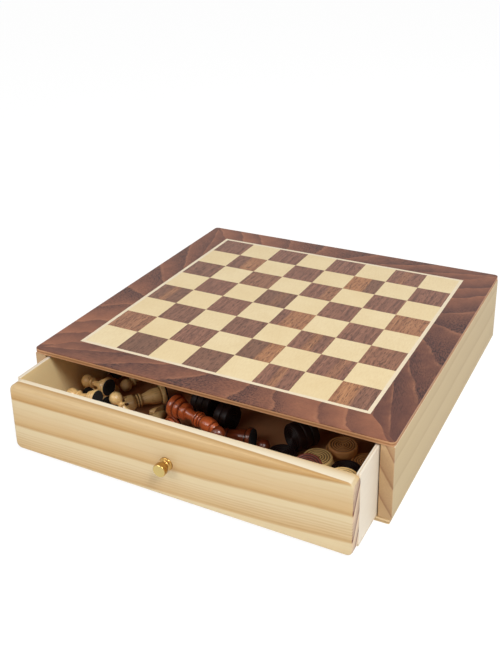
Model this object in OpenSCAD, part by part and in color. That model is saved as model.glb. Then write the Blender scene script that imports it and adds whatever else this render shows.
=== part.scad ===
// Games box: a veneered chess board on a shallow pine case, with one drawer
// for the chessmen and draughts. Millimetres, +Z up, the drawer opens to -Y.
// The origin is the centre of the underside of the case.

/* [Playing board] */
// Side of one square of the board
square = 30; // [24:0.5:40]
// Width of the pale line around the squares
stringing_w = 3; // [1.5:0.5:5]
// Width of the walnut border at the left and right
side_border_w = 26; // [15:1:40]
// Width of the walnut border at the front and back
end_border_w = 25; // [15:1:40]
// Thickness of the plywood under the veneer
core_t = 3.6; // [3:0.1:9]
// Thickness of the veneer
veneer_t = 0.6; // [0.4:0.1:1.5]
// Radius of the board's corners
board_corner_r = 3; // [1:0.5:8]

/* [Case] */
// Thickness of the pine side and back boards
wall_t = 10; // [6:0.5:16]
// Height of the pine boards
wall_h = 58.5; // [55:0.5:90]
// How far the board stands out over the front of the side boards
board_overhang = 0.5; // [0:0.1:2]
// Thickness of the plywood bottom
bottom_t = 3; // [2:0.5:6]
// How far the bottom stands out in front of the side boards
bottom_lip = 0.8; // [0:0.1:2]
// How far the bottom is set in at the sides and the back
bottom_inset = 1.2; // [0.5:0.1:3]

/* [Drawer] */
// Gap between the drawer and each side board
drawer_side_gap = 0.8; // [0.4:0.1:2]
// Gap above the drawer
drawer_top_gap = 1.8; // [0.5:0.1:3]
// Gap below the drawer
drawer_bottom_gap = 0.3; // [0.2:0.1:0.6]
// Gap behind the drawer when it is shut
drawer_back_gap = 1.5; // [0.5:0.5:5]
// Thickness of the pine drawer front
front_t = 11; // [8:0.5:16]
// Radius of the rounded edges of the drawer front
front_round = 4; // [2:0.5:6]
// Thickness of the plywood drawer sides and back
side_t = 3; // [2:0.5:6]
// Thickness of the plywood drawer floor
floor_t = 3; // [2:0.5:5]
// How far the drawer stands open
drawer_out = 44.5; // [0:0.5:180]

/* [Knob] */
// Diameter of the knob's flange
knob_flange_d = 10.4; // [8:0.2:16]
// Thickness of the flange
knob_flange_t = 1.6; // [1:0.1:3]
// Diameter of the neck
knob_neck_d = 6; // [5:0.2:8]
// Diameter of the head
knob_head_d = 10; // [8:0.2:16]
// How far the knob stands out of the drawer front
knob_out = 10.5; // [9:0.5:16]
// Diameter of the knob's screw
screw_d = 3; // [2:0.5:4]
// Depth of the screw hole in the knob
screw_depth = 6; // [4:0.5:8]
// Clearance around the screw
screw_play = 0.2; // [0.1:0.05:0.5]
// Diameter of the screw head
screw_head_d = 6; // [5:0.5:8]
// Thickness of the screw head
screw_head_t = 2; // [1:0.2:3]

/* [Chessmen] */
// Height of a pawn
pawn_h = 30; // [28:1:33]
// Radius of a pawn's base
pawn_r = 7.5; // [7:0.1:7.6]
// Height of a rook
rook_h = 34; // [31:1:37]
// Radius of a rook's base
rook_r = 8.5; // [8:0.1:9]
// Height of a knight
knight_h = 38; // [35:1:41]
// Radius of a knight's base
knight_r = 8.5; // [8:0.1:9]
// Height of a bishop
bishop_h = 52; // [48:1:54]
// Radius of a bishop's base
bishop_r = 9; // [8.5:0.1:9.5]
// Height of a queen
queen_h = 57; // [53:1:60]
// Radius of a queen's base
queen_r = 9.5; // [9:0.1:10]
// Height of a king without its cross
king_h = 60; // [56:1:62]
// Radius of a king's base
king_r = 10; // [9.5:0.1:10.5]
// Thickness of the felt under each man
felt_t = 1; // [0.6:0.1:1.5]
// How far each felt is set in from the edge of its base
felt_inset = 0.8; // [0.4:0.1:1.5]

/* [Draughts] */
// Radius of a draught
draught_r = 11; // [10:0.1:11.2]
// Thickness of a draught
draught_t = 6; // [5:0.1:6.5]
// Depth of the turned rings
ring_depth = 0.5; // [0.3:0.1:0.8]

/* [Hidden] */
$fn = 64;

// Running gap between loose pieces and what they lie on
seat = 0.15;
files = 8;

// Board
field = files * square;
board_w = field + 2 * (stringing_w + side_border_w);
board_d = field + 2 * (stringing_w + end_border_w);
board_z = bottom_t + wall_h;
veneer_z = board_z + core_t;

// Case
case_front_y = -board_d / 2 + board_overhang;
case_back_y = board_d / 2;
inner_w = board_w - 2 * wall_t;

// Drawer, with its own place at the opening that the box stands at
drawer_w = inner_w - 2 * drawer_side_gap;
drawer_z = bottom_t + drawer_bottom_gap;
drawer_h = wall_h - drawer_bottom_gap - drawer_top_gap;
drawer_len = case_back_y - wall_t - drawer_back_gap + board_d / 2;
front_y = -board_d / 2 - drawer_out;
inside_y = front_y + front_t;
rear_y = front_y + drawer_len;
tray_z = drawer_z + floor_t;

WALNUT = [0.36, 0.22, 0.17];
CREAM = [0.89, 0.80, 0.62];
PINE = [0.86, 0.74, 0.54];
PLY = [0.84, 0.70, 0.50];
BIRCH = [0.88, 0.80, 0.67];
BRASS = [0.80, 0.62, 0.25];
STEEL = [0.62, 0.62, 0.62];
BOXWOOD = [0.80, 0.66, 0.44];
RED = [0.55, 0.17, 0.08];
FELT = [0.05, 0.05, 0.05];
DARK = [0.16, 0.08, 0.06];

// ---- plates and boards ----

// A flat outline w by d with round corners
module rounded_outline(w, d, r) {
    square([w - 2 * r, d], center = true);
    square([w, d - 2 * r], center = true);
    for (x = [-1, 1], y = [-1, 1]) translate([x * (w / 2 - r), y * (d / 2 - r)]) circle(r);
}

module board_core() {
    color(PLY) translate([0, 0, board_z]) linear_extrude(core_t)
        rounded_outline(board_w, board_d, board_corner_r);
}

// One mitred border strip at a time, so that each stays a solid of its own
module walnut_border() {
    inner = field + 2 * stringing_w;
    color(WALNUT) translate([0, 0, veneer_z]) for (turn = [0, 1, 2, 3]) {
        long = turn % 2 == 0;
        ow = (long ? board_w : board_d) / 2;
        od = (long ? board_d : board_w) / 2;
        linear_extrude(veneer_t) intersection() {
            rounded_outline(board_w, board_d, board_corner_r);
            rotate(90 * turn)
                polygon([[-ow, -od], [ow, -od], [inner / 2, -inner / 2], [-inner / 2, -inner / 2]]);
        }
    }
}

module stringing() {
    o = field / 2 + stringing_w;
    i = field / 2;
    color(CREAM) translate([0, 0, veneer_z]) for (turn = [0, 1, 2, 3])
        rotate(90 * turn) linear_extrude(veneer_t) polygon([[-o, -o], [o, -o], [i, -i], [-i, -i]]);
}

// The squares of one colour: parity 0 has the near left corner
module squares(parity) {
    for (i = [0:files - 1], j = [0:files - 1]) if ((i + j) % 2 == parity)
        translate([i * square - field / 2, j * square - field / 2, veneer_z])
            cube([square, square, veneer_t]);
}
module light_squares() { color(CREAM) squares(0); }
module dark_squares() { color(WALNUT) squares(1); }

// ---- case ----

module side_board(x) {
    color(PINE) translate([x, case_front_y, bottom_t]) cube([wall_t, case_back_y - case_front_y, wall_h]);
}
module left_side_board() { side_board(-board_w / 2); }
module right_side_board() { side_board(board_w / 2 - wall_t); }

module back_board() {
    color(PINE) translate([-inner_w / 2, case_back_y - wall_t, bottom_t]) cube([inner_w, wall_t, wall_h]);
}

module bottom_panel() {
    w = board_w - 2 * bottom_inset;
    y0 = case_front_y - bottom_lip;
    color(PLY) translate([-w / 2, y0, 0]) cube([w, case_back_y - bottom_inset - y0, bottom_t]);
}

// ---- drawer ----

// Section of the drawer front, `size` across, with its two outer corners round
module front_section(size) {
    r = front_round;
    translate([-size / 2, r]) square([size, front_t - r]);
    translate([-size / 2 + r, 0]) square([size - 2 * r, front_t]);
    for (s = [-1, 1]) translate([s * (size / 2 - r), r]) circle(r);
}

module drawer_front() {
    zc = drawer_z + drawer_h / 2;
    color(PINE) difference() {
        intersection() {
            translate([0, front_y, drawer_z]) linear_extrude(drawer_h) front_section(drawer_w);
            translate([drawer_w / 2, front_y, zc]) rotate([0, -90, 0])
                linear_extrude(drawer_w) front_section(drawer_h);
        }
        translate([0, front_y - 1, zc]) rotate([-90, 0, 0])
            cylinder(d = screw_d + 2 * screw_play, h = front_t + 2);
    }
}

// A side stands on the edge of the floor and butts against the drawer front
module drawer_side(x) {
    color(BIRCH) translate([x, inside_y, tray_z]) cube([side_t, rear_y - inside_y, drawer_h - floor_t]);
}
module drawer_left_side() { drawer_side(-drawer_w / 2); }
module drawer_right_side() { drawer_side(drawer_w / 2 - side_t); }

module drawer_back() {
    w = drawer_w - 2 * side_t;
    color(BIRCH) translate([-w / 2, rear_y - side_t, tray_z]) cube([w, side_t, drawer_h - floor_t]);
}

module drawer_floor() {
    color(BIRCH) translate([-drawer_w / 2, inside_y, drawer_z])
        cube([drawer_w, rear_y - inside_y, floor_t]);
}

// ---- knob ----

// The knob's outline, radius against distance from the drawer front
function knob_profile() = let (r = knob_head_d / 2, n = knob_neck_d / 2, f = knob_flange_d / 2) [
    [0, 0], [f, 0], [f, knob_flange_t * 0.6], [f - 0.8, knob_flange_t], [n, knob_flange_t + 0.4],
    [n, knob_out * 0.42], [r - 0.8, knob_out * 0.5], [r, knob_out * 0.62], [r, knob_out * 0.78],
    [r - 0.7, knob_out * 0.92], [r - 2, knob_out], [0, knob_out]];

module knob() {
    color(BRASS) translate([0, front_y, drawer_z + drawer_h / 2]) rotate([90, 0, 0]) difference() {
        rotate_extrude() polygon(knob_profile());
        translate([0, 0, -1]) cylinder(d = screw_d, h = screw_depth + 1);
    }
}

// The screw goes in from inside the drawer; its head bears on the front board
module knob_screw() {
    color(STEEL) translate([0, inside_y, drawer_z + drawer_h / 2]) rotate([90, 0, 0]) difference() {
        union() {
            translate([0, 0, -screw_head_t]) cylinder(d = screw_head_d, h = screw_head_t);
            cylinder(d = screw_d - 0.1, h = front_t + screw_depth - 0.5);
        }
        translate([-screw_head_d / 2, -0.4, -screw_head_t]) cube([screw_head_d, 0.8, 0.9]);
    }
}

// ---- chessmen: outlines [radius, height] from the base up ----

// A turned bead from height y0 to y1 that stands `out` proud of radius r
function bead(r, y0, y1, out) =
    [for (k = [0:4]) [r + out * sin(45 * k), y0 + (y1 - y0) * (1 - cos(45 * k)) / 2]];

// The foot that all men share: three beads, the lowest one the widest
function foot(r, h) = concat([[0, 0]], bead(0.94 * r, 0, 0.3 * h, 0.06 * r),
    bead(0.82 * r, 0.34 * h, 0.62 * h, 0.07 * r), bead(0.68 * r, 0.66 * h, h, 0.06 * r));

// A ball of radius b on top of a man of height h, from the angle a0 up
function ball(b, h, a0) =
    [for (k = [0:8]) let (a = a0 + (90 - a0) * k / 8) [b * cos(a), h - b + b * sin(a)]];

// Points given as shares of the base radius and of the height
function shaped(r, h, points) = [for (p = points) [p[0] * r, p[1] * h]];

pawn_profile = let (r = pawn_r, h = pawn_h) concat(foot(r, 0.26 * h),
    shaped(r, h, [[0.5, 0.29], [0.36, 0.4], [0.29, 0.54]]),
    bead(0.32 * r, 0.56 * h, 0.62 * h, 0.26 * r), ball(0.7 * r, h, -62));

rook_profile = let (r = rook_r, h = rook_h) concat([[0, 0]], bead(0.94 * r, 0, 0.1 * h, 0.06 * r),
    shaped(r, h, [[0.72, 0.12], [0.78, 0.16], [0.79, 0.26], [0.69, 0.38], [0.55, 0.52], [0.5, 0.58]]),
    bead(0.52 * r, 0.6 * h, 0.65 * h, 0.14 * r), bead(0.52 * r, 0.67 * h, 0.71 * h, 0.12 * r),
    shaped(r, h, [[0.56, 0.74], [0.74, 0.8], [0.76, 1], [0.54, 1], [0.54, 0.9], [0, 0.9]]));

bishop_profile = let (r = bishop_r, h = bishop_h) concat(foot(r, 0.3 * h),
    shaped(r, h, [[0.48, 0.32], [0.43, 0.38], [0.4, 0.46]]),
    bead(0.5 * r, 0.47 * h, 0.51 * h, 0.12 * r), bead(0.56 * r, 0.52 * h, 0.56 * h, 0.12 * r),
    bead(0.5 * r, 0.57 * h, 0.6 * h, 0.08 * r),
    shaped(r, h, [[0.56, 0.63], [0.66, 0.68], [0.67, 0.73], [0.6, 0.8], [0.42, 0.87], [0.24, 0.9]]),
    ball(0.28 * r, h, -40));

queen_profile = let (r = queen_r, h = queen_h) concat(foot(r, 0.28 * h),
    shaped(r, h, [[0.5, 0.31], [0.4, 0.4], [0.35, 0.56]]),
    bead(0.42 * r, 0.57 * h, 0.61 * h, 0.2 * r), bead(0.44 * r, 0.62 * h, 0.65 * h, 0.12 * r),
    shaped(r, h, [[0.44, 0.68], [0.58, 0.8], [0.71, 0.88], [0.6, 0.9], [0.36, 0.93], [0.18, 0.94]]),
    ball(0.2 * r, h, -30));

king_profile = let (r = king_r, h = king_h) concat(foot(r, 0.28 * h),
    shaped(r, h, [[0.5, 0.31], [0.4, 0.4], [0.35, 0.56]]),
    bead(0.42 * r, 0.57 * h, 0.61 * h, 0.2 * r), bead(0.44 * r, 0.62 * h, 0.65 * h, 0.12 * r),
    shaped(r, h, [[0.44, 0.68], [0.58, 0.86], [0.66, 0.92], [0.52, 0.95], [0.2, 0.98], [0.16, 1], [0, 1]]));

// The knight's turned part; its head is a carved plate above it
knight_base_profile = let (r = knight_r, h = knight_h)
    concat(foot(r, 0.24 * h), shaped(r, h, [[0.66, 0.26], [0.66, 0.3], [0, 0.3]]));
knight_head_t = 0.9 * knight_r;

// The knight as it lies: the base, then the flat of the head
knight_profile = concat(knight_base_profile,
    [[knight_head_t / 2, 0.45 * knight_h], [knight_head_t / 2, knight_h]]);

module turned(profile) { rotate_extrude() polygon(profile); }
module pawn() { turned(pawn_profile); }

// The rook's battlements are cut across the rim of its cup
module rook() {
    difference() {
        turned(rook_profile);
        for (a = [0, 60, 120]) rotate(a) translate([-rook_r, -0.8, 0.93 * rook_h])
            cube([2 * rook_r, 1.6, 0.1 * rook_h]);
    }
}

// The bishop's mitre has one slanting saw cut, which is on top as he lies
module bishop() {
    difference() {
        turned(bishop_profile);
        translate([-0.15 * bishop_r, -bishop_r, 0.76 * bishop_h]) rotate([0, 35, 0])
            translate([-bishop_r, 0, 0]) cube([bishop_r, 2 * bishop_r, 1]);
    }
}
module queen() { turned(queen_profile); }

// A plain cross stands on the king's crown
module king() {
    turned(king_profile);
    translate([-0.9, -0.9, king_h - 0.5]) cube([1.8, 1.8, 5.5]);
    translate([-0.9, -2.2, king_h + 2]) cube([1.8, 4.4, 1.6]);
}

module knight() {
    turned(knight_base_profile);
    k = knight_h / 38;
    translate([-knight_head_t / 2, 0, 0]) rotate([90, 0, 90]) linear_extrude(knight_head_t)
        polygon(k * [[-5, 11], [-5.6, 18], [-5, 26], [-3, 32], [0.5, 36.5], [1.6, 38], [2.4, 34.5],
            [5, 32], [8.4, 27], [9, 24.5], [7.6, 22.8], [5, 24], [2.5, 22.5], [3, 18], [5, 14], [5, 11]]);
}

// ---- how the men lie ----
// A man's place is [u, v, heading, lift, slope]: his base's centre across the
// drawer and behind its front board, the way that his head points, the height
// of what he lies on, and how far his axis rises. With no slope he lies on the
// rim of his base and on his head; with a slope of 90 he stands.

function widest(profile) = max([for (p = profile) p.x]);
function rim_y(profile) = max([for (p = profile) if (p.x > widest(profile) - 0.01) p.y]);
function rest_slope(profile) = -min([for (p = profile) if (p.y > rim_y(profile) + 4)
    atan2(widest(profile) - p.x, p.y - rim_y(profile))]);
function felt_edge(profile) = [widest(profile) - felt_inset, -felt_t];

// Height of the base's centre over what the man touches at that slope
function rise(profile, slope) =
    max([for (p = concat(profile, [felt_edge(profile)])) p.x * cos(slope) - p.y * sin(slope)]);

module laid(profile, place) {
    slope = is_undef(place[4]) ? rest_slope(profile) : place[4];
    translate([place[0], inside_y + place[1], tray_z + seat + place[3] + rise(profile, slope)])
        rotate([0, 90 - slope, place[2]]) children();
}
module felt(profile) { translate([0, 0, -felt_t]) cylinder(r = felt_edge(profile).x, h = felt_t); }

// Height of a layer of pawns, for the men that lie across two of them
on_pawns = 2 * widest(pawn_profile) * cos(rest_slope(pawn_profile)) + seat;

light_pawns_at = [[-96.5, 40, 180, on_pawns], [-96.5, 40, -90, 0], [-120, 40, -90, 0],
    [-98.5, 58.5, 170, on_pawns], [-98.5, 58.5, 120, 0], [-121.5, 62.5, 90, 0],
    [-66, 47, 180, 0, 45], [-99, 115, -105, 0]];
light_rooks_at = [[-66, 90, 230, 0], [-44, 112, 95, 0]];
light_knights_at = [[-52.5, 41.5, 98, 0], [-128, 225, 0, 0]];
light_bishops_at = [[-85, 12, 0, 0], [-125, 104, 82, 0]];
light_queen_at = [-70, 125, 82, 0];
light_king_at = [-96, 128, 88, 0];

red_pawns_at = [[-36.5, 57.5, -104, 0], [0, 49.5, -104, 0], [15, 36, 0, 0, 90], [46, 39.5, 108, 0],
    [28, 120, 80, 0], [-18, 118, 70, 0], [6, 116, 100, 0], [58, 122, 70, 0]];
red_rooks_at = [[29, 63, 186, 0], [84, 116, 85, 0]];
red_knights_at = [[-22, 165, 10, 0], [40, 172, 0, 0]];
red_bishops_at = [[-36.5, 57.5, -14, on_pawns], [108, 112, 95, 0]];
red_queen_at = [-60, 215, 5, 0];
red_king_at = [-20, 11, 0, 0];

module light_pawns() { color(BOXWOOD) for (p = light_pawns_at) laid(pawn_profile, p) pawn(); }
module light_rooks() { color(BOXWOOD) for (p = light_rooks_at) laid(rook_profile, p) rook(); }
module light_knights() { color(BOXWOOD) for (p = light_knights_at) laid(knight_profile, p) knight(); }
module light_bishops() { color(BOXWOOD) for (p = light_bishops_at) laid(bishop_profile, p) bishop(); }
module light_queen() { color(BOXWOOD) laid(queen_profile, light_queen_at) queen(); }
module light_king() { color(BOXWOOD) laid(king_profile, light_king_at) king(); }
module red_pawns() { color(RED) for (p = red_pawns_at) laid(pawn_profile, p) pawn(); }
module red_rooks() { color(RED) for (p = red_rooks_at) laid(rook_profile, p) rook(); }
module red_knights() { color(RED) for (p = red_knights_at) laid(knight_profile, p) knight(); }
module red_bishops() { color(RED) for (p = red_bishops_at) laid(bishop_profile, p) bishop(); }
module red_queen() { color(RED) laid(queen_profile, red_queen_at) queen(); }
module red_king() { color(RED) laid(king_profile, red_king_at) king(); }

// The felts under one side's men
module felts(pawns, rooks, knights, bishops, queen_at, king_at) {
    for (p = pawns) laid(pawn_profile, p) felt(pawn_profile);
    for (p = rooks) laid(rook_profile, p) felt(rook_profile);
    for (p = knights) laid(knight_profile, p) felt(knight_profile);
    for (p = bishops) laid(bishop_profile, p) felt(bishop_profile);
    laid(queen_profile, queen_at) felt(queen_profile);
    laid(king_profile, king_at) felt(king_profile);
}
module light_felts() {
    color(FELT) felts(light_pawns_at, light_rooks_at, light_knights_at, light_bishops_at,
        light_queen_at, light_king_at);
}
module red_felts() {
    color(FELT) felts(red_pawns_at, red_rooks_at, red_knights_at, red_bishops_at,
        red_queen_at, red_king_at);
}

// ---- draughts ----

// A draught about its centre: a plain rim, and turned rings on both faces
module draught() {
    r = draught_r;
    top = draught_t / 2;
    low = top - ring_depth;
    half = [[0, top], [0.22 * r, top], [0.27 * r, low], [0.35 * r, low], [0.41 * r, top], [0.47 * r, top],
        [0.53 * r, low], [0.59 * r, low], [0.65 * r, top], [0.71 * r, top], [0.77 * r, low],
        [0.83 * r, low], [0.88 * r, top], [r - 0.6, top], [r, top - 0.6]];
    rotate_extrude() polygon(concat(half, [for (k = [len(half) - 1:-1:0]) [half[k].x, -half[k].y]]));
}

// A draught that lies flat: [u, v, how many draughts it lies on]
module flat(place) {
    z = tray_z + place[2] * (draught_t + seat) + seat + draught_t / 2;
    translate([place[0], inside_y + place[1], z]) draught();
}

// A draught that leans: its centre [u, v], how many flat draughts its lowest
// edge stands on, the way that it slopes down, and the slope
module tilted(place) {
    rise = draught_r * sin(place[4]) + draught_t / 2 * cos(place[4]);
    translate([place[0], inside_y + place[1], tray_z + place[2] * (draught_t + seat) + seat + rise])
        rotate([0, place[4], place[3]]) draught();
}

// A row of draughts on edge: its first one [u, v], how many, and the way that it runs
module on_edge(place) {
    for (k = [0:place[2] - 1]) translate([place[0], inside_y + place[1], tray_z + seat + draught_r])
        rotate([0, 90, place[3]]) translate([0, 0, k * (draught_t + seat) + draught_t / 2]) draught();
}

light_flat = [[115, 30, 0], [115, 30, 1], [115, 30, 2], [115, 30, 3], [84.5, 62, 0], [84, 59.5, 1],
    [92, 84, 0], [95, 81.5, 1], [114.5, 77.5, 0], [82, 37, 0], [62, 14, 0], [62, 14, 1]];
dark_flat = [[55, 61, 0], [108, 55, 0], [108, 55, 1]];
dark_tilted = [[83.5, 42, 1, -80, 22]];
dark_on_edge = [[57, 73.5, 3, 60], [-34, 91, 3, -12], [-7, 79.5, 2, -10]];

module light_draughts() { color(BOXWOOD) for (p = light_flat) flat(p); }
module dark_draughts() {
    color(DARK) {
        for (p = dark_flat) flat(p);
        for (p = dark_tilted) tilted(p);
        for (p = dark_on_edge) on_edge(p);
    }
}

board_core();
walnut_border();
stringing();
light_squares();
dark_squares();
left_side_board();
right_side_board();
back_board();
bottom_panel();
drawer_front();
drawer_left_side();
drawer_right_side();
drawer_back();
drawer_floor();
knob();
knob_screw();
light_pawns();
light_rooks();
light_knights();
light_bishops();
light_queen();
light_king();
red_pawns();
red_rooks();
red_knights();
red_bishops();
red_queen();
red_king();
light_felts();
red_felts();
light_draughts();
dark_draughts();
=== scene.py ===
"""A games box: a veneered chess board on a pine case, and a drawer with chessmen and draughts in it.

All sizes are in metres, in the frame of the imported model: +Z up, the drawer opens towards -Y, and the origin
is under the middle of the case. Sections follow the object as it is put together, from the board down.
"""

import bpy
import numpy as np
from mathutils import Matrix, Vector


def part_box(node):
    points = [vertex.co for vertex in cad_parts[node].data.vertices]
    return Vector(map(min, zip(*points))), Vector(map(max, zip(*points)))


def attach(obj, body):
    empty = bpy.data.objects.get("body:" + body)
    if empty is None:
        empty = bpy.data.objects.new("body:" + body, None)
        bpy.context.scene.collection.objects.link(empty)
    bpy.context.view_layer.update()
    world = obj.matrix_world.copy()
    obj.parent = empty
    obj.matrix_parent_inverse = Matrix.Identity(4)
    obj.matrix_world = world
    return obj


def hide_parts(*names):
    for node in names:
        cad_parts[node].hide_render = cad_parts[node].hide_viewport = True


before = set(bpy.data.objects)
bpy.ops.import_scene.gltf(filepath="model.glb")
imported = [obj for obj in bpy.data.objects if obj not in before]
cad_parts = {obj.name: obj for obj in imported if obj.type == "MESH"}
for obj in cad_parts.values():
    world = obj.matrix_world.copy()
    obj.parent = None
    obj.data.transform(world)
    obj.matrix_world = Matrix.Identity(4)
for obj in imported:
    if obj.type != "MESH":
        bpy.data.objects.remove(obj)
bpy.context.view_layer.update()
mm = 0.001

# ---- The plywood of the board ----
# A 3.6 mm panel of three plies, sawn to size with rounded corners and sanded. Its edge is left bare, so
# the plies show all round as pale, tan and pale lines. It is glued down on the walls of the case.


def quarter_round(radius, hold):
    """Offsets (inwards, along) of an edge's quarter round: radius (1 - sin a, 1 - cos a), a from 0 to 90
    degrees, with one more point `hold` away on each flat beside it, which keeps the flats flat."""
    a = np.radians(np.linspace(0, 90, 5))
    arc = radius * np.stack([1 - np.sin(a), 1 - np.cos(a)], axis=1)
    return np.concatenate([[[radius + hold, 0]], arc, [[0, radius + hold]]])


def outline(half, radius, hold=0.2 * mm):
    """A rectangle of half sizes `half` with round corners, counter-clockwise: corner k turns by the angle a
    from 90 k to 90 k + 90 degrees about a centre `radius` inside the corner. Returns [column, 2]."""
    a = np.radians(np.linspace(0, 90, 5))
    arc = radius * np.stack([np.cos(a), np.sin(a)], axis=1)
    corner = np.concatenate([[[radius, -hold]], arc, [[-hold, radius]]])
    corners = []
    for c, s, sx, sy in ((1, 0, 1, 1), (0, 1, -1, 1), (-1, 0, -1, -1), (0, -1, 1, -1)):
        corners.append(corner @ np.array([[c, s], [-s, c]]) + np.array([sx, sy]) * (np.array(half) - radius))
    return np.concatenate(corners)


def planed(low, high, edges, corner=0.0, along=2):
    """A planed board between two corners: its outline is carried along the axis `along`, and near both ends
    it is drawn in by a quarter round of the radii `edges`. Returns a grid [row, column, 3]."""
    low, high = np.roll(low, 2 - along), np.roll(high, 2 - along)
    half, middle, hold = (high - low)[:2] / 2, (high + low)[:2] / 2, 0.1 * mm
    start, end = quarter_round(edges[0], hold), quarter_round(edges[1], hold)[::-1]
    inward = np.concatenate([start[:, 0], end[:, 0]])
    height = np.concatenate([low[2] + start[:, 1], high[2] - end[:, 1]])
    radius = max(corner, *edges) + 3 * hold
    rows = [outline(half - d, radius - d) + middle for d in inward]
    grid = np.concatenate([np.array(rows), np.repeat(height[:, None, None], len(rows[0]), axis=1)], axis=2)
    return np.roll(grid, along - 2, axis=2)


def keep(mesh, name, kind, values):
    """Keeps a number ("FLOAT") or a vector ("FLOAT_VECTOR") for each point of a mesh, for its material to read."""
    layer = mesh.attributes.new(name, kind, "POINT")
    layer.data.foreach_set("vector" if kind == "FLOAT_VECTOR" else "value", np.asarray(values, np.float32).ravel())


def skin(name, grids, closed="poles", crease=38, own=None, tint=None):
    """One mesh from grids [row, column, 3] that are closed round their columns. Rows either end in a pole
    at the middle of the end row, or join up ("ring"). `own` keeps a vector for each point, from before a
    turned piece is laid in its place, and `tint` one number for each grid. Edges sharper than `crease` degrees
    stay sharp."""
    points, faces, owns, shades_and_stains, first = [], [], [], [], 0
    for k, grid in enumerate(grids):
        rows, columns = grid.shape[:2]
        number = first + np.arange(rows * columns).reshape(rows, columns)
        after = np.roll(number, -1, axis=1)
        upper, upper_after = np.roll(number, -1, axis=0), np.roll(after, -1, axis=0)
        quads = np.stack([number, after, upper_after, upper], axis=2)
        faces += (quads if closed == "ring" else quads[:-1]).reshape(-1, 4).tolist()
        both = [grid] + ([own[k]] if own else [])
        flat = [g.reshape(-1, 3) for g in both]
        if closed == "poles":
            bottom, top = first + rows * columns, first + rows * columns + 1
            faces += np.stack([np.full(columns, bottom), after[0], number[0]], axis=1).tolist()
            faces += np.stack([np.full(columns, top), number[-1], after[-1]], axis=1).tolist()
            flat = [np.concatenate([f, [g[0].mean(0)], [g[-1].mean(0)]]) for f, g in zip(flat, both)]
        points.append(flat[0])
        owns.append(flat[-1])
        shades_and_stains.append(np.full(len(flat[0]), tint[k] if tint else 0.0))
        first += len(flat[0])
    mesh = bpy.data.meshes.new(name)
    mesh.from_pydata(np.concatenate(points).tolist(), [], faces)
    if own:
        keep(mesh, "own_place", "FLOAT_VECTOR", np.concatenate(owns))
    if tint:
        keep(mesh, "tint", "FLOAT", np.concatenate(shades_and_stains))
    mesh.shade_smooth()
    mesh.set_sharp_from_angle(angle=np.radians(crease))
    piece = bpy.data.objects.new(name, mesh)
    bpy.context.scene.collection.objects.link(piece)
    return piece


def fit(piece, finish, body, slot, *stands_for):
    """Gives a piece its finish, lets it move with its body, and hides the solids it stands for. `slot` is not used.
    """
    piece.data.materials.append(finish)
    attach(piece, body)
    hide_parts(*stands_for)


class Shade:
    """One output in a material's nodes. + - * / and ** add Math nodes, and `node` adds any other node."""

    def __init__(self, socket):
        self.socket = socket

    def node(self, kind, settings, inputs, output=0):
        """Adds a node of a type: first its settings, or a ramp's stops, then the values or links of its sockets."""
        made = self.socket.id_data.nodes.new(kind)
        for key, value in settings.items():
            if key == "stops":
                ramp = made.color_ramp.elements
                for place, colour in value[1:-1]:
                    ramp.new(place).color = colour
                for element, stop in ((ramp[0], value[0]), (ramp[-1], value[-1])):
                    element.position, element.color = stop
            else:
                setattr(made, key, value)
        for key, value in inputs.items():
            if isinstance(value, Shade):
                made.id_data.links.new(value.socket, made.inputs[key])
            else:
                made.inputs[key].default_value = value
        return Shade(made.outputs[output])

    def maths(self, operation, *others):
        """A Math node on this and the values after it."""
        return self.node("ShaderNodeMath", {"operation": operation}, dict(enumerate((self, *others))))

    def __add__(self, other):
        return self.maths("ADD", other)

    def __sub__(self, other):
        return self.maths("SUBTRACT", other)

    def __rsub__(self, other):
        return self.node("ShaderNodeMath", {"operation": "SUBTRACT"}, {0: other, 1: self})

    def __mul__(self, other):
        return self.maths("MULTIPLY", other)

    def __truediv__(self, other):
        return self.maths("DIVIDE", other)

    def __rtruediv__(self, other):
        return self.node("ShaderNodeMath", {"operation": "DIVIDE"}, {0: other, 1: self})

    def __pow__(self, other):
        return self.maths("POWER", other)

    __radd__ = __add__
    __rmul__ = __mul__

    def axes(self):
        """The three parts of a vector."""
        return [self.node("ShaderNodeSeparateXYZ", {}, {0: self}, k) for k in range(3)]

    def scaled(self, x, y, z):
        """A vector with its parts times x, y and z."""
        return self.node("ShaderNodeVectorMath", {"operation": "MULTIPLY"}, {0: self, 1: (x, y, z)})

    def kept(self, name):
        """A number that the mesh keeps for each point."""
        return self.node("ShaderNodeAttribute", {"attribute_name": name}, {}, 2)

    def noise(self, scale, detail=2.0, roughness=0.5):
        """Smooth noise from 0 to 1 about 0.5 at this place, `scale` bumps to a metre."""
        return self.node("ShaderNodeTexNoise", {}, {"Vector": self, "Scale": scale, "Detail": detail,
                                                    "Roughness": roughness})

    def step(self, low, high):
        """0 below low, 1 above high and smooth between, or the other way round where low is above high."""
        return self.node("ShaderNodeMapRange", {"interpolation_type": "SMOOTHSTEP"}, {0: self, 1: low, 2: high})

    def mix(self, a, b):
        """Colour a where this is 0, colour b where it is 1."""
        return self.node("ShaderNodeMix", {"data_type": "RGBA"}, {0: self, 6: a, 7: b}, 2)

    def ramp(self, stops):
        """A colour that goes from stop to stop, (place, colour), as this goes from 0 to 1."""
        return self.node("ShaderNodeValToRGB", {"stops": stops}, {0: self})


def hue(red, green, blue):
    """A colour written as it is seen on a screen, 0 to 255, as the linear colour that the nodes use."""
    parts = np.array([red, green, blue]) / 255
    return (*np.where(parts < 0.04045, parts / 12.92, ((parts + 0.055) / 1.055) ** 2.4), 1.0)


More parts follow.
